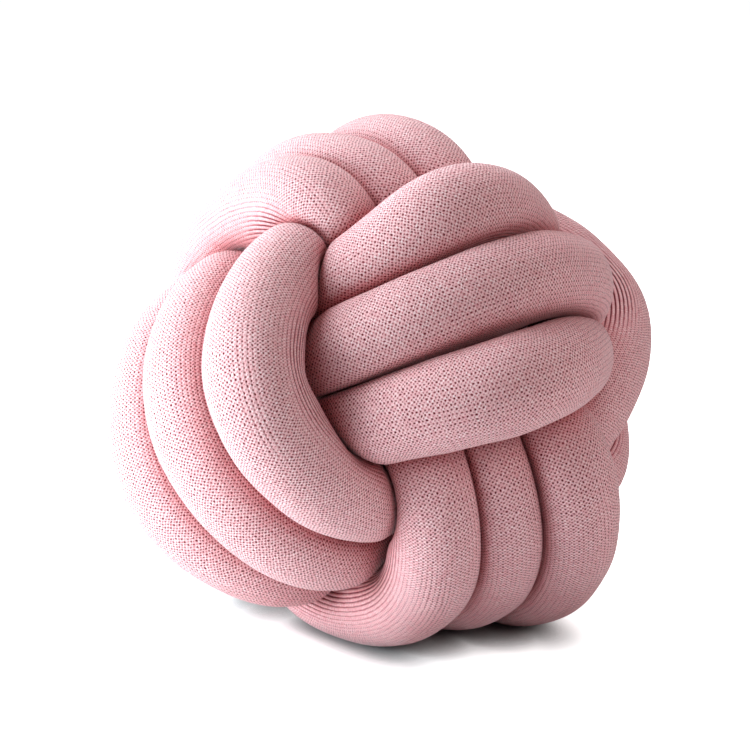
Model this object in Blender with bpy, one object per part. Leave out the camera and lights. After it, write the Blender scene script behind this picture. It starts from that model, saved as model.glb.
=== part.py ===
# A ball-shaped cushion: one long stuffed tube of knitted cloth, wound nine times into a solid knot.
# Metres, Z up, the ball resting on z = 0, its front turned towards -Y.
import math

import bpy
import numpy as np

MM = 0.001

# the stuffed tube
TUBE_RADIUS = 26.0  # free radius, mm
SIDES = 14  # corners of each cross-section
RINGS = 410  # cross-sections round the whole closed loop
FINE_STEP = 3.0  # spacing of the centreline samples that press on one another, mm
TOUCH_GAP = 1.2  # air left between two stretches that press on each other, mm
LOOKS_PER_RING = 3  # places where each cross-section measures how far it can swell
REACH = 2.6 * TUBE_RADIUS  # stretches farther off than this don't press, mm
SPACING_POWER = 0.8  # how the curve shares its bending between long and short spans
SPAN_SAMPLES = 40  # points worked out on each span before they are spaced evenly
NEARLY_ZERO = 1e-6
FIRST_ACROSS = (0.3, 0.5, 0.8)  # any direction that isn't along the tube's first sample
ROUNDING = 10.0  # how sharply a pressed cross-section turns from round to flat
SAME_STRETCH = 45.0  # samples nearer than this along the tube don't press on each other, mm
BEND_SHARE = 0.85  # the inner side of a bend stays within this share of the bend's own radius
THINNEST = 3.0  # no cross-section is pressed thinner than this, mm
PRESSED_BELOW = 2.0  # cloth lower than this lies flat on the floor, mm

# the even knot that the strips are laid off from, mm from the ball's centre
CROWN_OUT = 124.0  # centreline of a middle strip at its highest
SIDE_CROWN_SHARE = 0.96  # the two outer strips of a face lie this much lower
END_OUT = 80.0  # centreline where a strip dips under its neighbours
END_RUN = 70.0  # and how far that is along the strip from the crown
CORE_OUT = 64.0  # centreline where a strip passes below the next face
STRIP_PITCH = 40.0  # between the strips of one face
LEAVING = 22.0  # a finished band's tube is this far down its last turn when it heads for the core
CORE_CORNER = 24.0  # the corner of the core that it rounds there, along each axis

# how the ball lies
YAW, PITCH, ROLL = 42.0, -19.0, -23.0  # degrees
CENTRE = (1.0, 3.6, 142.0)  # mm

# local axes of the three bands of turns: out of the first face, along the run, across the strips
BANDS = (
    ("front", "back", (0, 1, 2)),
    ("right", "left", (1, 2, 0)),
    ("top", "bottom", (2, 0, 1)),
)
TURNS = (1, 0, -1)

# how far each strip lies off the even knot, mm: outwards, along its run and across it,
# at its start, at its crown and at its end
STRIPS = {
    # (face, turn): start out, run, across; crown out, run, across; end out, run, across
    ("front", 1): (-1, 16, 3, -2, -3, 16, -6, -14, -3),
    ("front", 0): (-6, -6, 10, 1, 1, 13, 3, -1, 4),
    ("front", -1): (-8, -5, 17, 10, -16, 4, 1, -18, 13),
    ("back", 1): (4, -6, -8, 1, 0, -1, -2, 3, -5),
    ("back", 0): (-1, -4, -3, 0, 0, 1, 1, -4, 1),
    ("back", -1): (1, -4, -8, 14, 1, -20, 2, 7, -8),
    ("right", 1): (-8, 14, 15, 12, 0, -4, -7, -6, -12),
    ("right", 0): (15, -12, 11, 0, -1, -5, -2, -5, -7),
    ("right", -1): (0, 0, 12, 1, 1, -1, 2, 1, -2),
    ("left", 1): (-8, 9, 19, 10, -6, 31, 0, -15, 6),
    ("left", 0): (-5, 3, -6, 0, -3, 0, -2, 3, 1),
    ("left", -1): (-1, 6, -4, 5, 5, -9, 2, 0, -3),
    ("top", 1): (2, -6, 10, -1, -3, -1, 2, -7, -10),
    ("top", 0): (5, -2, 5, -7, -3, -7, -1, -7, -6),
    ("top", -1): (-3, -15, 12, -14, 0, -2, 4, -9, -3),
    ("bottom", 1): (2, -19, -20, 13, 0, 4, 10, -6, 3),
    ("bottom", 0): (-3, -3, -14, -4, -1, 6, 2, 9, 8),
    ("bottom", -1): (-4, 7, -7, -5, 6, 4, -3, 9, 0),
}

CLOTH_COLOUR = (0.79, 0.37, 0.43, 1.0)
CLOTH_ROUGHNESS = 0.9


def strip_points(face, turn, sign):
    """Start, crown and end of one strip, as out, run and across from the ball's centre."""
    crown = CROWN_OUT * (1.0 if turn == 0 else SIDE_CROWN_SHARE)
    across = turn * STRIP_PITCH
    even = np.array([[END_OUT, -END_RUN, across], [crown, 0.0, across], [END_OUT, END_RUN, across]])
    laid = even + np.array(STRIPS[face, turn], float).reshape(3, 3)
    laid[:, :2] *= sign
    return laid


def on_axes(point, axes):
    """A point given as out, run and across, put on the ball's own axes."""
    placed = np.zeros(3)
    placed[list(axes)] = point
    return placed


def stations():
    """Every point the centreline is led through, band after band, turn after turn."""
    points = []
    for band, (first, second, axes) in enumerate(BANDS):
        next_first, _, next_axes = BANDS[(band + 1) % 3]
        for turn in TURNS:
            over = strip_points(first, turn, 1.0)
            under = strip_points(second, turn, -1.0)
            far_side = (0.0, CORE_OUT, (over[2, 2] + under[0, 2]) / 2)
            points += [on_axes(p, axes) for p in (*over, far_side, *under)]
            if turn != TURNS[-1]:
                following = strip_points(first, turn - 1, 1.0)
                near_side = (0.0, -CORE_OUT, (under[2, 2] + following[0, 2]) / 2)
                points.append(on_axes(near_side, axes))
                continue
            entering = strip_points(next_first, TURNS[0], 1.0)
            corner = np.roll((CORE_CORNER, -CORE_CORNER, -CORE_CORNER), band)
            points.append(on_axes((-LEAVING, -CORE_OUT, under[2, 2]), axes))
            points.append(corner)
            points.append(on_axes((LEAVING, -CORE_OUT, entering[0, 2]), next_axes))
    return np.array(points)


def turned(axis, degrees):
    """The matrix that turns points about one axis."""
    c, s = math.cos(math.radians(degrees)), math.sin(math.radians(degrees))
    j, k = (axis + 1) % 3, (axis + 2) % 3
    m = np.eye(3)
    m[j, j], m[j, k], m[k, j], m[k, k] = c, -s, s, c
    return m


def smooth_loop(points):
    """A closed cubic with continuous curvature through the points, as evenly spaced samples."""
    following = np.roll(points, -1, axis=0)
    after = np.linalg.norm(following - points, axis=1) ** SPACING_POWER
    before = np.roll(after, 1)
    n = len(points)
    rows = np.arange(n)
    system = np.zeros((n, n))
    system[rows, rows - 1] = before
    system[rows, rows] = 2 * (before + after)
    system[rows, (rows + 1) % n] = after
    slopes = (following - points) / after[:, None]
    bends = np.linalg.solve(system, 6 * (slopes - np.roll(slopes, 1, axis=0)))
    share = (np.arange(SPAN_SAMPLES) / SPAN_SAMPLES)[None, :, None]
    rest = 1 - share
    span = after[:, None, None]
    loop = rest * points[:, None] + share * following[:, None]
    loop += (rest**3 - rest) * span**2 / 6 * bends[:, None]
    loop += (share**3 - share) * span**2 / 6 * np.roll(bends, -1, axis=0)[:, None]
    loop = loop.reshape(-1, 3)
    closed = np.vstack([loop, loop[:1]])
    along = np.r_[0.0, np.cumsum(np.linalg.norm(np.diff(closed, axis=0), axis=1))]
    return closed, along


def sampled(closed, along, count):
    """Evenly spaced points along the closed curve."""
    where = np.arange(count) / count * along[-1]
    return np.stack([np.interp(where, along, closed[:, i]) for i in range(3)], axis=1)


def carried_frames(path):
    """Directions across the path that turn as little as they can, with the closing twist spread evenly."""
    ahead = np.roll(path, -1, axis=0) - np.roll(path, 1, axis=0)
    ahead /= np.linalg.norm(ahead, axis=1)[:, None]
    across = np.zeros_like(path)
    first = np.cross(ahead[0], FIRST_ACROSS)
    across[0] = first / np.linalg.norm(first)
    for i in range(1, len(path)):
        kept = across[i - 1] - ahead[i] * (across[i - 1] @ ahead[i])
        across[i] = kept / np.linalg.norm(kept)
    last = across[-1] - ahead[0] * (across[-1] @ ahead[0])
    twist = math.atan2(np.cross(last, across[0]) @ ahead[0], last @ across[0])
    angle = (np.arange(len(path)) / len(path) * twist)[:, None]
    second = np.cross(ahead, across)
    across = across * np.cos(angle) + second * np.sin(angle)
    return across, np.cross(ahead, across)


def pressed_radii(path, spokes, loop, loop_length):
    """The free radius, held back by the plane halfway to every other stretch and by tight bends."""
    count, total = len(path), len(loop)
    place = np.arange(count) * total / count
    limits = np.empty(spokes.shape[:2])
    for i in range(count):
        towards = loop - path[i]
        distance = np.linalg.norm(towards, axis=1)
        apart = np.abs(np.arange(total) - place[i])
        apart = np.minimum(apart, total - apart) * loop_length / total
        near = (apart > SAME_STRETCH) & (distance < REACH)
        reach = np.maximum(spokes[i] @ towards[near].T, NEARLY_ZERO)
        halfway = distance[near] ** 2 / 2 - TOUCH_GAP / 2 * distance[near]
        limits[i] = (halfway / reach).min(axis=1)
    step = loop_length / count
    bend = (np.roll(path, -1, axis=0) - 2 * path + np.roll(path, 1, axis=0)) / step**2
    inward = np.maximum(np.einsum("ij,ikj->ik", bend, spokes), NEARLY_ZERO)
    limits = np.maximum(np.minimum(limits, BEND_SHARE / inward), THINNEST)
    radii = (TUBE_RADIUS**-ROUNDING + limits**-ROUNDING) ** (-1 / ROUNDING)
    half = LOOKS_PER_RING // 2
    return np.min([np.roll(radii, shift, axis=0) for shift in range(-half, half + 1)], axis=0)


def tube_object(name, material):
    """The whole wound tube as one closed mesh of rings, its ends joined."""
    rest = turned(1, ROLL) @ turned(0, PITCH) @ turned(2, YAW)
    rest = rest @ np.array([[0.0, 1.0, 0.0], [-1.0, 0.0, 0.0], [0.0, 0.0, 1.0]])
    closed, along = smooth_loop(stations() @ rest.T + CENTRE)
    loop = sampled(closed, along, round(along[-1] / FINE_STEP))
    path = sampled(closed, along, RINGS * LOOKS_PER_RING)
    across, second = carried_frames(path)
    angle = (np.arange(SIDES) * 2 * math.pi / SIDES)[None, :, None]
    spokes = across[:, None] * np.cos(angle) + second[:, None] * np.sin(angle)
    radii = pressed_radii(path, spokes, loop, along[-1])
    points = (path[:, None] + spokes * radii[..., None])[::LOOKS_PER_RING]
    points[..., 2] = np.where(points[..., 2] < PRESSED_BELOW, 0.0, points[..., 2])
    ring = np.arange(RINGS)[:, None]
    side = np.arange(SIDES)[None, :]
    here, there = ring * SIDES, (ring + 1) % RINGS * SIDES
    beside = (side + 1) % SIDES
    quads = np.stack([here + side, here + beside, there + beside, there + side], axis=-1)
    mesh = bpy.data.meshes.new(name)
    mesh.from_pydata((points.reshape(-1, 3) * MM).tolist(), [], quads.reshape(-1, 4).tolist())
    mesh.polygons.foreach_set("use_smooth", [True] * len(mesh.polygons))
    mesh.materials.append(material)
    mesh.update()
    made = bpy.data.objects.new(name, mesh)
    bpy.context.scene.collection.objects.link(made)
    return made


def cloth_material():
    material = bpy.data.materials.new("knit_cloth")
    material.use_nodes = True
    surface = material.node_tree.nodes["Principled BSDF"]
    surface.inputs["Base Color"].default_value = CLOTH_COLOUR
    surface.inputs["Roughness"].default_value = CLOTH_ROUGHNESS
    surface.inputs["Metallic"].default_value = 0.0
    return material


for leftover in list(bpy.data.objects):
    bpy.data.objects.remove(leftover)

tube_object("knotted_tube", cloth_material())
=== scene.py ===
# A ball-shaped cushion wound from one stuffed tube of pink plain knit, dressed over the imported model.
import math

import bpy
import numpy as np
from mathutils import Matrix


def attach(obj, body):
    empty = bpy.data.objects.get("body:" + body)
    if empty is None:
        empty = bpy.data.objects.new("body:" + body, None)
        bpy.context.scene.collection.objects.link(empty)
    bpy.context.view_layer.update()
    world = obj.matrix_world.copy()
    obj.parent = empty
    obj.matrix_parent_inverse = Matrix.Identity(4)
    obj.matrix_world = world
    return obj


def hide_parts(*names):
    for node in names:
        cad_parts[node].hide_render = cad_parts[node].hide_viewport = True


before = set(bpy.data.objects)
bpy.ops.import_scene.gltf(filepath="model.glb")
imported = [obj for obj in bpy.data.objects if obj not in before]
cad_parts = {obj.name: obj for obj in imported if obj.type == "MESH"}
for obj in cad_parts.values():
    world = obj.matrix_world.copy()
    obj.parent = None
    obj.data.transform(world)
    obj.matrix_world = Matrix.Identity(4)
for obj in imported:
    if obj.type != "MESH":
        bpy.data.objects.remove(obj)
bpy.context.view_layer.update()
millimetre = 0.001
print("stage 1: packed model loaded")

tube = {
    "radius": 26.0,  # free radius of the stuffed tube, mm
    "walesRound": 64,  # columns of stitches round the tube
    "coursePitch": 2.2,  # from one row of stitches to the next, mm
    "pointsPerWale": 4,
    "ringStep": 3.75,  # mm
    "pressStep": 3.0,  # spacing of the centreline's samples that press on each other, mm
    "touchGap": 0.4,  # air between two stretches that press on each other, mm
    "sameStretch": 45.0,  # the tube doesn't press on itself within this length, mm
    "pressReach": 68.0,  # nor on a stretch that is farther off than this, mm
    "pressSharpness": 10.0,  # the higher, the sharper the edge of a pressed flat
    "bendShare": 0.85,  # how far towards the middle of a bend the skin may reach, share of the way
    "thinnest": 3.0,  # mm
    "lumpHeight": 0.028,  # unevenness of the filling, share of the radius
    "lumpWaves": 40,
    "lumpsAlong": (40, 190),  # waves along the whole tube, fewest and one more than the most
    "lumpsRound": (0, 4),  # and round it
    "lumpSeed": 11,
    "strainSeed": 5,
    "strainRings": 19,  # length of a strained stretch, in rings
    "strainWales": 7,  # and its width
    "strainRange": (0.3, 2.6),  # from no strain to full strain, in standard deviations
    "ribDepth": 0.12,  # groove between two wales where the knit lies slack, mm
    "ribDepthSqueezed": 0.5,  # and what the inner side of a bend adds to it, mm
    "ribSharpness": 8,  # the higher, the narrower the groove
    "slackShare": 0.85,  # share of the way round at which the courses keep their pitch
    "courseRings": 23,  # rings over which the courses' pitch is evened out
    "squeezeRange": (0.08, 0.43),  # from slack to fully squeezed, share of the pitch that is lost
}

windingPlan = {
    "crownOut": 124.0,  # centreline of a middle strip at its highest, mm from the ball's centre
    "sideCrownShare": 0.96,  # the two outer strips of a face lie this much lower
    "endOut": 80.0,  # centreline where a strip dips under its neighbours
    "endRun": 70.0,  # and how far that is along the strip from the crown
    "coreOut": 64.0,  # centreline where a strip passes below the next face
    "stripPitch": 40.0,
    "leaving": 22.0,  # how far down its last turn a finished band heads for the core
    "coreCorner": 24.0,  # the corner of the core that it rounds there
    "yaw": 42.0,  # how the ball lies on the floor, degrees
    "pitch": -19.0,
    "roll": -23.0,
    "centre": (1.0, 3.6, 142.0),  # mm
}

# local axes of the three bands of turns: out of the first face, along the run, across the strips
bands = (
    ("front", "back", (0, 1, 2)),
    ("right", "left", (1, 2, 0)),
    ("top", "bottom", (2, 0, 1)),
)
turns = (1, 0, -1)

# how far each strip lies off the even knot, mm: outwards, along its run and across it. These were
# worked out by a least-squares fit to strip middles and edges read off the picture, rounded, and
# then changed in places
strips = {
    # (face, turn): start out, run, across; crown out, run, across; end out, run, across
    ("front", 1): (-1, 16, 3, -2, -3, 16, -6, -14, -3),
    ("front", 0): (-6, -6, 10, 1, 1, 13, 3, -1, 4),
    ("front", -1): (-8, -5, 17, 10, -16, 4, 1, -18, 13),
    ("back", 1): (4, -6, -8, 1, 0, -1, -2, 3, -5),
    ("back", 0): (-1, -4, -3, 0, 0, 1, 1, -4, 1),
    ("back", -1): (1, -4, -8, 14, 1, -20, 2, 7, -8),
    ("right", 1): (-8, 14, 15, 12, 0, -4, -7, -6, -12),
    ("right", 0): (15, -12, 11, 0, -1, -5, -2, -5, -7),
    ("right", -1): (0, 0, 12, 1, 1, -1, 2, 1, -2),
    ("left", 1): (-8, 9, 19, 10, -6, 31, 0, -15, 6),
    ("left", 0): (-5, 3, -6, 0, -3, 0, -2, 3, 1),
    ("left", -1): (-1, 6, -4, 5, 5, -9, 2, 0, -3),
    ("top", 1): (2, -6, 10, -1, -3, -1, 2, -7, -10),
    ("top", 0): (5, -2, 5, -7, -3, -7, -1, -7, -6),
    ("top", -1): (-3, -15, 12, -14, 0, -2, 4, -9, -3),
    ("bottom", 1): (2, -19, -20, 13, 0, 4, 10, -6, 3),
    ("bottom", 0): (-3, -3, -14, -4, -1, 6, 2, 9, 8),
    ("bottom", -1): (-4, 7, -7, -5, 6, 4, -3, 9, 0),
}


def stripPoints(face, turn, sign):
    # start, crown and end of one strip: the even knot's three points plus that strip's own offsets
    plan = windingPlan
    crown = plan["crownOut"] * (1.0 if turn == 0 else plan["sideCrownShare"])
    out, run, across = plan["endOut"], plan["endRun"], turn * plan["stripPitch"]
    laid = np.array([[out, -run, across], [crown, 0.0, across], [out, run, across]])
    laid = laid + np.array(strips[face, turn], float).reshape(3, 3)
    laid[:, :2] *= sign
    return laid


def onAxes(point, axes):
    # a point given on a band's own axes, put on the knot's
    placed = np.zeros(3)
    placed[list(axes)] = point
    return placed


def windingStations():
    # every point the centreline is led through, and the number of the one where each turn begins
    core, leaving, corner = (windingPlan[k] for k in ("coreOut", "leaving", "coreCorner"))
    points, starts = [], []
    for band, (first, second, axes) in enumerate(bands):
        nextFirst, _, nextAxes = bands[(band + 1) % 3]
        for turn in turns:
            starts.append((len(points) - 1, f"turn_{first}_{2 - turn}"))
            over, under = stripPoints(first, turn, 1.0), stripPoints(second, turn, -1.0)
            farSide = (0.0, core, (over[2, 2] + under[0, 2]) / 2)
            points += [onAxes(p, axes) for p in (*over, farSide, *under)]
            if turn != turns[-1]:
                following = stripPoints(first, turn - 1, 1.0)
                points.append(onAxes((0.0, -core, (under[2, 2] + following[0, 2]) / 2), axes))
                continue
            entering = stripPoints(nextFirst, turns[0], 1.0)
            points.append(onAxes((-leaving, -core, under[2, 2]), axes))
            points.append(np.roll((corner, -corner, -corner), band))
            points.append(onAxes((leaving, -core, entering[0, 2]), nextAxes))
    return np.array(points), starts


def turned(axis, degrees):
    # turning matrix about one axis: cosine and sine in the plane of the other two
    c, s = math.cos(math.radians(degrees)), math.sin(math.radians(degrees))
    j, k = (axis + 1) % 3, (axis + 2) % 3
    m = np.eye(3)
    m[j, j], m[j, k], m[k, j], m[k, k] = c, -s, s, c
    return m


def smoothLoop(points, samples=40, spacingPower=0.8):
    # closed cubic with continuous curvature through the points: on each span, the straight mix of
    # its ends plus (share cubed minus share) times the bends there, which a cyclic system gives
    following = np.roll(points, -1, axis=0)
    after = np.linalg.norm(following - points, axis=1) ** spacingPower
    before = np.roll(after, 1)
    n, rows = len(points), np.arange(len(points))
    system = np.zeros((n, n))
    system[rows, rows - 1] = before
    system[rows, rows] = 2 * (before + after)
    system[rows, (rows + 1) % n] = after
    slopes = (following - points) / after[:, None]
    bends = np.linalg.solve(system, 6 * (slopes - np.roll(slopes, 1, axis=0)))
    share = (np.arange(samples) / samples)[None, :, None]
    rest = 1 - share
    span = after[:, None, None]
    loop = rest * points[:, None] + share * following[:, None]
    loop += (rest**3 - rest) * span**2 / 6 * bends[:, None]
    loop += (share**3 - share) * span**2 / 6 * np.roll(bends, -1, axis=0)[:, None]
    loop = loop.reshape(-1, 3)
    closed = np.vstack([loop, loop[:1]])
    along = np.r_[0.0, np.cumsum(np.linalg.norm(np.diff(closed, axis=0), axis=1))]
    return closed, along, along[::samples]


def sampled(closed, along, count):
    # points at even distances along the closed curve
    where = np.arange(count) / count * along[-1]
    return np.stack([np.interp(where, along, closed[:, i]) for i in range(3)], axis=1)


def carriedFrames(path, firstAcross=(0.3, 0.5, 0.8)):
    # each direction across the path is the last one with its lengthwise part taken out; what is
    # left over where the loop closes is spread evenly, so the wales never wind round the tube
    ahead = np.roll(path, -1, axis=0) - np.roll(path, 1, axis=0)
    ahead /= np.linalg.norm(ahead, axis=1)[:, None]
    across = np.zeros_like(path)
    first = np.cross(ahead[0], firstAcross)
    across[0] = first / np.linalg.norm(first)
    for i in range(1, len(path)):
        kept = across[i - 1] - ahead[i] * (across[i - 1] @ ahead[i])
        across[i] = kept / np.linalg.norm(kept)
    last = across[-1] - ahead[0] * (across[-1] @ ahead[0])
    twist = math.atan2(np.cross(last, across[0]) @ ahead[0], last @ across[0])
    angle = (np.arange(len(path)) / len(path) * twist)[:, None]
    second = np.cross(ahead, across)
    across = across * np.cos(angle) + second * np.sin(angle)
    return across, np.cross(ahead, across)


def swelledRadii(path, spokes, loop, length, freeRadius):
    # the free radius, held back by the plane halfway to every other stretch and by tight bends;
    # the two limits meet in a soft minimum, so that a pressed side turns smoothly from round to flat
    count, total, tiny = len(path), len(loop), 1e-6
    place = np.arange(count) * total / count
    limits = np.empty(spokes.shape[:2])
    for i in range(count):
        towards = loop - path[i]
        distance = np.linalg.norm(towards, axis=1)
        apart = np.abs(np.arange(total) - place[i])
        apart = np.minimum(apart, total - apart) * length / total
        near = (apart > tube["sameStretch"]) & (distance < tube["pressReach"])
        facing = np.maximum(spokes[i] @ towards[near].T, tiny)
        halfway = distance[near] ** 2 / 2 - tube["touchGap"] / 2 * distance[near]
        limits[i] = (halfway / facing).min(axis=1)
    step = length / count
    bend = (np.roll(path, -1, axis=0) - 2 * path + np.roll(path, 1, axis=0)) / step**2
    inward = np.maximum(np.einsum("ij,ikj->ik", bend, spokes), tiny)
    limits = np.maximum(np.minimum(limits, tube["bendShare"] / inward), tube["thinnest"])
    power = -tube["pressSharpness"]
    return (freeRadius**power + limits**power) ** (1 / power)


def fillingLumps(rings, sides):
    # sum of a few long waves round and along the tube, each closed on itself, of random phase
    rng = np.random.default_rng(tube["lumpSeed"])
    along = np.arange(rings)[:, None] / rings * 2 * math.pi
    around = np.arange(sides)[None, :] / sides * 2 * math.pi
    lumps = np.zeros((rings, sides))
    for _ in range(tube["lumpWaves"]):
        alongWaves, roundWaves = rng.integers(*tube["lumpsAlong"]), rng.integers(*tube["lumpsRound"])
        lumps += np.cos(alongWaves * along + roundWaves * around + rng.uniform(0, 2 * math.pi))
    return lumps / np.abs(lumps).max()


def eased(low, high, value):
    # 0 below low, 1 above high, and three times the square less twice the cube between them
    t = np.clip((value - low) / (high - low), 0.0, 1.0)
    return t * t * (3 - 2 * t)


def laidCourses(skin):
    # the knit lies slack on the outer side of a bend, where its courses keep their pitch, and is
    # squeezed on the inner side; gives that squeeze at each point and the course at each ring
    step = np.linalg.norm(np.roll(skin, -1, axis=0) - np.roll(skin, 1, axis=0), axis=2) / 2
    outer = np.sort(step, axis=1)[:, round(step.shape[1] * tube["slackShare"])]
    window = np.hanning(tube["courseRings"]) / np.hanning(tube["courseRings"]).sum()
    wing = tube["courseRings"] // 2
    outer = np.convolve(np.r_[outer[-wing:], outer, outer[:wing]], window, mode="valid")
    courseAt = np.r_[0.0, np.cumsum(outer)] / tube["coursePitch"]
    courseAt *= round(courseAt[-1]) / courseAt[-1]
    squeeze = eased(*tube["squeezeRange"], 1 - step / outer[:, None])
    return squeeze, courseAt


def strainedWales(rings, sides):
    # groups of wales are drawn tighter than others for a few centimetres, where their holes run
    # together: a random number for each wale and ring, smoothed along and round the closed tube
    wales = tube["walesRound"]
    loose = np.random.default_rng(tube["strainSeed"]).normal(size=(rings, wales))
    along = np.abs(np.fft.fft(np.hanning(tube["strainRings"]), rings))[:, None]
    around = np.abs(np.fft.fft(np.hanning(tube["strainWales"]), wales))[None, :]
    smooth = np.fft.ifft2(np.fft.fft2(loose) * along * around).real
    strain = eased(*tube["strainRange"], smooth / smooth.std())
    return np.repeat(strain, sides // wales, axis=1)


def woundTube():
    # the whole tube as one grid of points, rings along and sides round, its squeeze and strain at
    # each point, the course reached at each ring, and the ring where each turn begins
    plan = windingPlan
    rest = turned(1, plan["roll"]) @ turned(0, plan["pitch"]) @ turned(2, plan["yaw"])
    quarterBack = np.array([[0.0, 1.0, 0.0], [-1.0, 0.0, 0.0], [0.0, 0.0, 1.0]])
    rest = rest @ quarterBack
    points, starts = windingStations()
    closed, along, stationAlong = smoothLoop(points @ rest.T + plan["centre"])
    length = along[-1]
    loop = sampled(closed, along, round(length / tube["pressStep"]))
    rings, sides = round(length / tube["ringStep"]), tube["walesRound"] * tube["pointsPerWale"]
    path = sampled(closed, along, rings)
    across, second = carriedFrames(path)
    angle = (np.arange(sides) * 2 * math.pi / sides)[None, :, None]
    spokes = across[:, None] * np.cos(angle) + second[:, None] * np.sin(angle)
    free = tube["radius"] * (1 + tube["lumpHeight"] * fillingLumps(rings, sides))
    radii = swelledRadii(path, spokes, loop, length, free)
    skin = path[:, None] + spokes * radii[..., None]
    squeeze, courseAt = laidCourses(skin)
    strain = np.roll(strainedWales(rings, sides), -tube["pointsPerWale"] // 2, axis=1)
    groove = np.cos(angle[..., 0] * tube["walesRound"] / 2) ** tube["ribSharpness"]
    depth = groove * (tube["ribDepth"] + tube["ribDepthSqueezed"] * squeeze)
    skin = skin - spokes * depth[..., None]
    skin[..., 2] = np.maximum(skin[..., 2], 0.0)
    reached = stationAlong / length * rings
    firstRings = [(round(reached[k % len(points)]) % rings, name) for k, name in starts]
    return skin * millimetre, {"squeeze": squeeze, "strain": strain}, courseAt, firstRings


def addMap(mesh, name, corners):
    # one UV map, given corner by corner
    layer = mesh.uv_layers.new(name=name)
    layer.uv.foreach_set("vector", corners.astype(np.float32).ravel())


def sheetMap(count, sides):
    # the turn cut open and laid flat in two rows of equal scale, with its two ends as small discs
    rowLength, rowHeight, margin = 0.98, 0.46, 0.01
    discSize, firstDisc, lastDisc = 0.015, (0.2, 0.975), (0.4, 0.975)
    ring, side = np.arange(count)[:, None], np.arange(sides)[None, :]
    half = (count + 1) // 2
    row = ring // half
    u = (np.stack([ring, ring, ring + 1, ring + 1], axis=-1) - (row * half)[..., None]) / half
    v = np.stack([side, side + 1, side + 1, side], axis=-1) / sides
    flat = np.empty((count, sides, 4, 2))
    flat[..., 0] = margin + rowLength * u
    flat[..., 1] = margin + rowHeight * v + (row * (rowHeight + margin))[..., None]
    angle = np.arange(sides) / sides * 2 * math.pi
    disc = np.stack([np.cos(angle), np.sin(angle)], axis=-1) * discSize
    return np.concatenate([flat.reshape(-1, 2), disc[::-1] + firstDisc, disc + lastDisc])


def turnPiece(name, skin, tension, begin, count, courseAt, material):
    # one turn of the tube: the rings from begin on, joined ring to ring, closed by a face at each end
    rings, sides = skin.shape[:2]
    taken = (begin + np.arange(count + 1)) % rings
    points = skin[taken].reshape(-1, 3)
    ring, side = np.arange(count)[:, None], np.arange(sides)[None, :]
    beside = (side + 1) % sides
    here, there = ring * sides, (ring + 1) * sides
    quads = np.stack([here + side, here + beside, there + beside, there + side], axis=-1).reshape(-1, 4)
    mesh = bpy.data.meshes.new(name)
    mesh.vertices.add(len(points))
    mesh.vertices.foreach_set("co", points.astype(np.float32).ravel())
    ends = np.concatenate([np.arange(sides)[::-1], count * sides + np.arange(sides)])
    mesh.loops.add(quads.size + len(ends))
    mesh.loops.foreach_set("vertex_index", np.concatenate([quads.ravel(), ends]).astype(np.int32))
    mesh.polygons.add(len(quads) + 2)
    begins = np.r_[np.arange(len(quads)) * 4, quads.size, quads.size + sides]
    mesh.polygons.foreach_set("loop_start", begins.astype(np.int32))
    mesh.polygons.foreach_set("use_smooth", np.r_[np.ones(len(quads), bool), False, False])
    mesh.update(calc_edges=True)
    waleOf = np.stack([side, side + 1, side + 1, side], axis=-1) / tube["pointsPerWale"]
    ringOf = np.stack([ring, ring, ring + 1, ring + 1], axis=-1) + begin
    knit = np.empty((count, sides, 4, 2))
    knit[..., 0] = waleOf
    knit[..., 1] = courseAt[ringOf % rings] + ringOf // rings * courseAt[-1]
    capMap = np.zeros((len(ends), 2))
    addMap(mesh, "knit", np.concatenate([knit.reshape(-1, 2), capMap]))
    addMap(mesh, "OFBake", sheetMap(count, sides))
    for label, values in tension.items():
        attribute = mesh.attributes.new(label, "FLOAT", "POINT")
        attribute.data.foreach_set("value", values[taken].astype(np.float32).ravel())
    mesh.materials.append(material)
    mesh.validate()
    piece = bpy.data.objects.new(name, mesh)
    bpy.context.scene.collection.objects.link(piece)
    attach(piece, "root")
    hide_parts("knotted_tube")


cloth = {
    "yarn": (0.85, 0.425, 0.445),
    # light fibre flecks, and the painted highlight on the crests and arms of the stitches
    "fleckAndHighlight": (1.0, 0.80, 0.81),
    "shade": (0.52, 0.15, 0.17),  # painted shade on yarn that lies deeper
    # painted shade seen through the holes between the stitches
    "hole": (0.15, 0.012, 0.018),
    "roughness": 0.95,
    "specular": 0.2,
    "sheen": 0.45,
    "sheenRoughness": 0.3,
    "sheenTint": (1.0, 0.85, 0.87),
    "bump": 0.0004,  # height of a stitch, m
    "creaseShade": (0.74, 0.46, 0.46),  # painted shade in the deepest creases
    "creaseReach": 0.05,  # m
    "creaseSamples": 6,
    "creaseRange": (1.0, 0.15),  # openness from no painted shade to the full one
    "creaseHeights": (0.0, 0.06),  # above the floor, from no painted shade to the full one, m
}

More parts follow.
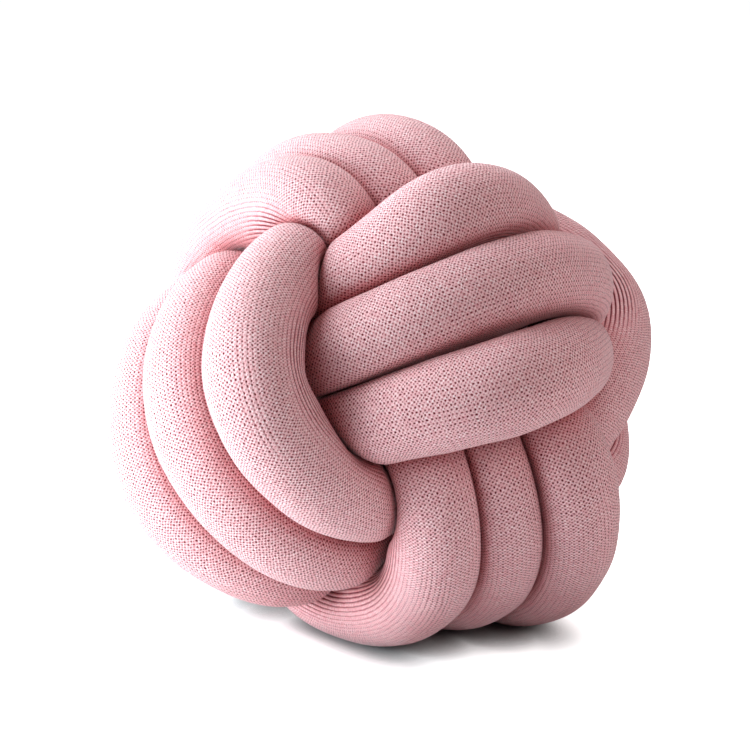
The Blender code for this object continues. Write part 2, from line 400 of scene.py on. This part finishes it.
# a noise's scale is in features to the metre; a range holds the value that gives nothing and the
# one that gives the full effect
stitches = {
    "swayScale": 320.0,
    "sway": 0.5,  # how far a stitch wanders, in wales
    "swayLost": 0.8,  # where it is squeezed
    "riseScale": 230.0,
    "rise": 0.9,  # in courses
    "longHoles": 0.18,  # share of the wave across the wales that stands alone
    "longHolesStrained": 0.11,  # and what strain adds to it
    "holeRange": (-0.1, 0.85),
    "unlikeScale": 480.0,  # the holes differ in depth with this noise
    "unlikeRange": (0.3, 0.62),
    "faintHole": 0.5,  # depth of the faintest hole
    "holeSpread": 0.45,  # and what the deepest adds
    "holesShut": 0.9,  # where the knit is squeezed
    "strainedGroove": 0.25,
    "grooveSharpness": 2.5,
    "grainScale": 2200.0,
    "grainRange": (0.4, 0.7),
    "patchScale": 420.0,
    "patchRange": (0.25, 0.65),
    "crestRange": (0.1, -0.7),
    # fibre flecks everywhere, with painted highlight added on the crests and along the arms
    "fleckAndHighlightBetweenCrests": 0.4,
    "highlightOnCrests": 0.9,  # added to it
    "fleckAndHighlightBetweenArms": 0.65,
    "highlightOnArms": 0.8,  # added to it
    "shadeBetweenArms": 0.22,
    "shadeRange": (0.0, 0.6),
    "holeShadeRange": (0.22, 0.95),
    "holeHeight": 0.8,  # how deep a hole is, share of the stitch's height
    "armHeight": -0.2,  # of the arms over what lies between them
    "grainHeight": 0.25,
}


def wire(tree, operation, *values):
    # one Math node fed with sockets or plain numbers
    node = tree.nodes.new("ShaderNodeMath")
    node.operation = operation
    for socket, value in zip(node.inputs, values):
        if isinstance(value, (int, float)):
            socket.default_value = value
        else:
            tree.links.new(value, socket)
    return node.outputs[0]


def scaled(tree, value, gain, base):
    # value times gain plus base
    return wire(tree, "MULTIPLY_ADD", value, gain, base)


def wave(tree, value):
    # cosine that comes back at every whole number
    return wire(tree, "COSINE", wire(tree, "MULTIPLY", value, 2 * math.pi))


def blended(tree, share, first, second, mode="MIX"):
    # one colour Mix node: the first colour where the share is 0, the second where it is 1
    node = tree.nodes.new("ShaderNodeMix")
    node.data_type = "RGBA"
    node.blend_type = mode
    for socket, value in ((node.inputs[0], share), (node.inputs[6], first), (node.inputs[7], second)):
        if isinstance(value, (int, float)):
            socket.default_value = value
        elif isinstance(value, tuple):
            socket.default_value = (*value, 1.0)
        else:
            tree.links.new(value, socket)
    return node.outputs[2]


def between(tree, value, low, high):
    # smooth step from 0 at low to 1 at high
    node = tree.nodes.new("ShaderNodeMapRange")
    node.interpolation_type = "SMOOTHSTEP"
    tree.links.new(value, node.inputs["Value"])
    node.inputs["From Min"].default_value = low
    node.inputs["From Max"].default_value = high
    return node.outputs[0]


def noise(tree, vector, scale, detail=2.0):
    node = tree.nodes.new("ShaderNodeTexNoise")
    node.inputs["Scale"].default_value = scale
    node.inputs["Detail"].default_value = detail
    tree.links.new(vector, node.inputs["Vector"])
    return node.outputs["Fac"]


def painted(tree, name):
    # a number that the mesh carries at each point
    node = tree.nodes.new("ShaderNodeAttribute")
    node.attribute_name = name
    return node.outputs["Fac"]


def knitMaterial():
    material = bpy.data.materials.new("knit_cloth")
    material.use_nodes = True
    tree = material.node_tree
    surface = tree.nodes["Principled BSDF"]
    mapNode = tree.nodes.new("ShaderNodeUVMap")
    mapNode.uv_map = "knit"
    place = tree.nodes.new("ShaderNodeTexCoord").outputs["Object"]
    split = tree.nodes.new("ShaderNodeSeparateXYZ")
    tree.links.new(mapNode.outputs[0], split.inputs[0])
    squeeze, strain = painted(tree, "squeeze"), painted(tree, "strain")
    knit = stitches
    # stitches wander a little: two slow noises shift the wale, less so where it is squeezed, and
    # the course
    sway = scaled(tree, noise(tree, place, knit["swayScale"], 1.0), knit["sway"], -knit["sway"] / 2)
    sway = wire(tree, "MULTIPLY", sway, scaled(tree, squeeze, -knit["swayLost"], 1.0))
    rise = scaled(tree, noise(tree, place, knit["riseScale"], 1.0), knit["rise"], -knit["rise"] / 2)
    wale = wire(tree, "ADD", split.outputs[0], sway)
    course = wire(tree, "ADD", split.outputs[1], rise)
    # holes: cosine across the wales times cosine along the courses is highest in the groove between
    # two wales and, half a course on, in the middle of a wale; a share of the first cosine alone
    # makes the holes in the grooves longer and the others fainter, and more so on strained wales
    acrossWave = wave(tree, wale)
    alone = scaled(tree, strain, knit["longHolesStrained"], knit["longHoles"])
    shared = wire(tree, "MULTIPLY", wave(tree, course), wire(tree, "SUBTRACT", 1.0, alone))
    lattice = wire(tree, "MULTIPLY", acrossWave, wire(tree, "ADD", shared, alone))
    holes = between(tree, lattice, *knit["holeRange"])
    unlike = between(tree, noise(tree, place, knit["unlikeScale"], 1.0), *knit["unlikeRange"])
    unlike = scaled(tree, unlike, knit["holeSpread"], knit["faintHole"])
    slack = scaled(tree, squeeze, -knit["holesShut"], 1.0)
    holes = wire(tree, "MULTIPLY", wire(tree, "MULTIPLY", holes, unlike), slack)
    # ribs: where the knit is squeezed or strained, the grooves run on between the holes, low in the
    # height and darkened with painted shade
    grooves = scaled(tree, acrossWave, 0.5, 0.5)
    tight = wire(tree, "MAXIMUM", squeeze, wire(tree, "MULTIPLY", strain, knit["strainedGroove"]))
    rib = wire(tree, "MULTIPLY", wire(tree, "POWER", grooves, knit["grooveSharpness"]), tight)
    dark = wire(tree, "MAXIMUM", holes, rib)
    # a stitch is a V: its two arms slant up from the middle of the wale to the grooves beside it
    phase = wire(tree, "ADD", course, wire(tree, "PINGPONG", wale, 0.5))
    arms = scaled(tree, wave(tree, phase), -0.5, 0.5)
    # yarn colour: painted shade towards the holes and between the arms; flecked with a fine fibre grain,
    # the flecks made stronger on the crests and arms as painted highlight
    grain = noise(tree, place, knit["grainScale"])
    patch = between(tree, noise(tree, place, knit["patchScale"]), *knit["patchRange"])
    fleckAndHighlight = wire(tree, "MULTIPLY", between(tree, grain, *knit["grainRange"]), patch)
    # painted highlight: the flecks are made stronger on the crests between the holes and along the arms
    crestHighlight = between(tree, lattice, *knit["crestRange"])
    crestHighlight = scaled(tree, crestHighlight, knit["highlightOnCrests"], knit["fleckAndHighlightBetweenCrests"])
    armHighlight = scaled(tree, arms, knit["highlightOnArms"], knit["fleckAndHighlightBetweenArms"])
    fleckAndHighlight = wire(tree, "MULTIPLY", fleckAndHighlight, wire(tree, "MULTIPLY", crestHighlight, armHighlight))
    # painted shade between the arms and towards the holes and grooves
    deep = scaled(tree, arms, -knit["shadeBetweenArms"], knit["shadeBetweenArms"])
    deep = wire(tree, "ADD", deep, between(tree, dark, *knit["shadeRange"]))
    colour = blended(tree, deep, cloth["yarn"], cloth["shade"])
    colour = blended(tree, fleckAndHighlight, colour, cloth["fleckAndHighlight"])
    # painted shade: the holes, and the grooves where the knit is tight, are coloured dark
    colour = blended(tree, between(tree, dark, *knit["holeShadeRange"]), colour, cloth["hole"])
    # creases between two stretches get a painted shade, the darker the less open they are, but not where
    # the ball comes near the floor
    openness = tree.nodes.new("ShaderNodeAmbientOcclusion")
    openness.samples = cloth["creaseSamples"]
    openness.inputs["Distance"].default_value = cloth["creaseReach"]
    high = tree.nodes.new("ShaderNodeSeparateXYZ")
    tree.links.new(place, high.inputs[0])
    creaseShade = between(tree, openness.outputs["AO"], *cloth["creaseRange"])
    offFloor = between(tree, high.outputs["Z"], *cloth["creaseHeights"])
    creaseShade = wire(tree, "MULTIPLY", creaseShade, offFloor)
    # painted shade multiplied into the yarn colour in the creases
    colour = blended(tree, creaseShade, colour, cloth["creaseShade"], "MULTIPLY")
    tree.links.new(colour, surface.inputs["Base Color"])
    # height: low in the holes and grooves and a little so along the arms, with the grain on top
    height = scaled(tree, dark, -knit["holeHeight"], knit["holeHeight"])
    height = wire(tree, "ADD", height, wire(tree, "MULTIPLY", arms, knit["armHeight"]))
    height = wire(tree, "ADD", height, wire(tree, "MULTIPLY", grain, knit["grainHeight"]))
    bump = tree.nodes.new("ShaderNodeBump")
    bump.inputs["Strength"].default_value = 1.0
    bump.inputs["Distance"].default_value = cloth["bump"]
    tree.links.new(height, bump.inputs["Height"])
    tree.links.new(bump.outputs[0], surface.inputs["Normal"])
    surface.inputs["Roughness"].default_value = cloth["roughness"]
    surface.inputs["Sheen Weight"].default_value = cloth["sheen"]
    surface.inputs["Sheen Roughness"].default_value = cloth["sheenRoughness"]
    surface.inputs["Sheen Tint"].default_value = (*cloth["sheenTint"], 1.0)
    surface.inputs["Specular IOR Level"].default_value = cloth["specular"]
    return material


studio = {
    "worldLight": 0.02,
    "worldSeen": 1.05,  # brightness of the backdrop for the camera
    "middle": (0.0, 0.0, 0.14),  # where the lamps point, m
    "floorHalf": 6.0,  # m
    "floorDrop": 0.0002,  # m below the ball
    "floorRoughness": 0.9,
    "floorColour": (0.9, 0.9, 0.9),
    "floorGlow": 0.96,  # what the camera sees on top of the light that falls on the floor
    "shadowReach": 0.026,  # how far the dark under the ball spreads, m
    "shadowShade": 0.4,  # what is left of the floor's own colour there
    "shadowRange": (0.1, 0.85),  # openness from fully dark to none
}

# soft round lamps about the ball; azimuth runs from the camera's side towards the right
lights = {
    # name: azimuth, elevation in degrees; distance, size in metres; power in watts; colour
    "left_near": (-66, 6, 0.62, 0.4, 5.1, "cool"),
    "left_high": (-90, 50, 1.6, 0.8, 18.5, "cool"),
    "behind_left": (-135, 25, 1.6, 0.8, 21.5, "cool"),
    "behind_high": (180, 45, 1.6, 0.8, 9.5, "warm"),
    "top": (0, 88, 1.6, 0.8, 5.0, "warm"),
    "front_right": (45, 30, 1.6, 0.8, 4.9, "warm"),
    "right": (90, 15, 1.6, 0.8, 4.2, "warm"),
}
lightColours = {"cool": (0.77, 0.955, 1.0), "warm": (1.0, 0.97, 0.96)}


def aimed(thing, place, target):
    # puts a lamp or the camera at its place and points it at the target
    thing.location = place
    offset = np.array(target) - np.array(place)
    yaw = math.atan2(offset[1], offset[0]) - math.pi / 2
    pitch = math.atan2(offset[2], math.hypot(offset[0], offset[1])) + math.pi / 2
    thing.rotation_euler = (pitch, 0.0, yaw)


def areaLight(name, azimuth, elevation, distance, size, power, colour):
    data = bpy.data.lights.new(name, "AREA")
    data.shape = "DISK"
    data.size = size
    data.energy = power
    data.color = lightColours[colour]
    light = bpy.data.objects.new(name, data)
    bpy.context.scene.collection.objects.link(light)
    turn, up = math.radians(azimuth), math.radians(elevation)
    away = np.array([math.cos(up) * math.sin(turn), -math.cos(up) * math.cos(turn), math.sin(up)])
    aimed(light, np.array(studio["middle"]) + away * distance, studio["middle"])


def floorMaterial():
    # glows white for the camera, and is painted dark where little of the room is open above it
    material = bpy.data.materials.new("pale_floor")
    material.use_nodes = True
    tree = material.node_tree
    surface = tree.nodes["Principled BSDF"]
    surface.inputs["Roughness"].default_value = studio["floorRoughness"]
    openness = tree.nodes.new("ShaderNodeAmbientOcclusion")
    openness.inputs["Distance"].default_value = studio["shadowReach"]
    lit = between(tree, openness.outputs["AO"], *studio["shadowRange"])
    glow = blended(tree, lit, (0.0, 0.0, 0.0), (1.0, 1.0, 1.0))
    tree.links.new(glow, surface.inputs["Emission Color"])
    shaded = tuple(c * studio["shadowShade"] for c in studio["floorColour"])
    tree.links.new(blended(tree, lit, shaded, studio["floorColour"]), surface.inputs["Base Color"])
    seen = tree.nodes.new("ShaderNodeLightPath").outputs["Is Camera Ray"]
    tree.links.new(wire(tree, "MULTIPLY", seen, studio["floorGlow"]), surface.inputs["Emission Strength"])
    return material


def studioSet():
    mesh = bpy.data.meshes.new("floor")
    half = studio["floorHalf"]
    corners = [(-half, -half, 0), (half, -half, 0), (half, half, 0), (-half, half, 0)]
    mesh.from_pydata(corners, [], [(0, 1, 2, 3)])
    floor = bpy.data.objects.new("floor", mesh)
    floor.location.z = -studio["floorDrop"]
    bpy.context.scene.collection.objects.link(floor)
    mesh.materials.append(floorMaterial())
    for name, placing in lights.items():
        areaLight(name, *placing)
    world = bpy.data.worlds.new("studio")
    bpy.context.scene.world = world
    world.use_nodes = True
    tree = world.node_tree
    background = tree.nodes["Background"]
    background.inputs["Color"].default_value = (1.0, 1.0, 1.0, 1.0)
    seen = tree.nodes.new("ShaderNodeLightPath").outputs["Is Camera Ray"]
    strength = scaled(tree, seen, studio["worldSeen"] - studio["worldLight"], studio["worldLight"])
    tree.links.new(strength, background.inputs["Strength"])


camera = {
    "target": (-0.005, 0.0036, 0.144),
    "distance": 1.4,
    "elevation": 15.0,  # degrees
    "focal": 122.06,  # mm
    "frameWidth": 36.0,  # mm
}


def placeCamera():
    data = bpy.data.cameras.new("camera")
    data.lens = camera["focal"]
    data.sensor_width = camera["frameWidth"]
    seen = bpy.data.objects.new("camera", data)
    bpy.context.scene.collection.objects.link(seen)
    up = math.radians(camera["elevation"])
    back = np.array([0.0, -math.cos(up), math.sin(up)]) * camera["distance"]
    aimed(seen, np.array(camera["target"]) + back, camera["target"])
    bpy.context.scene.camera = seen


skin, tension, courseAt, firstRings = woundTube()
print("stage 2: tube worked out,", len(skin), "rings,", round(courseAt[-1]), "courses")
knitCloth = knitMaterial()
for number, (begin, name) in enumerate(firstRings):
    count = (firstRings[(number + 1) % len(firstRings)][0] - begin) % skin.shape[0]
    turnPiece(name, skin, tension, begin, count, courseAt, knitCloth)
    print("stage 3:", name, "made,", count, "rings")
studioSet()
placeCamera()
bpy.context.scene.view_settings.view_transform = "Standard"
print("stage 4: lights, floor and camera set")
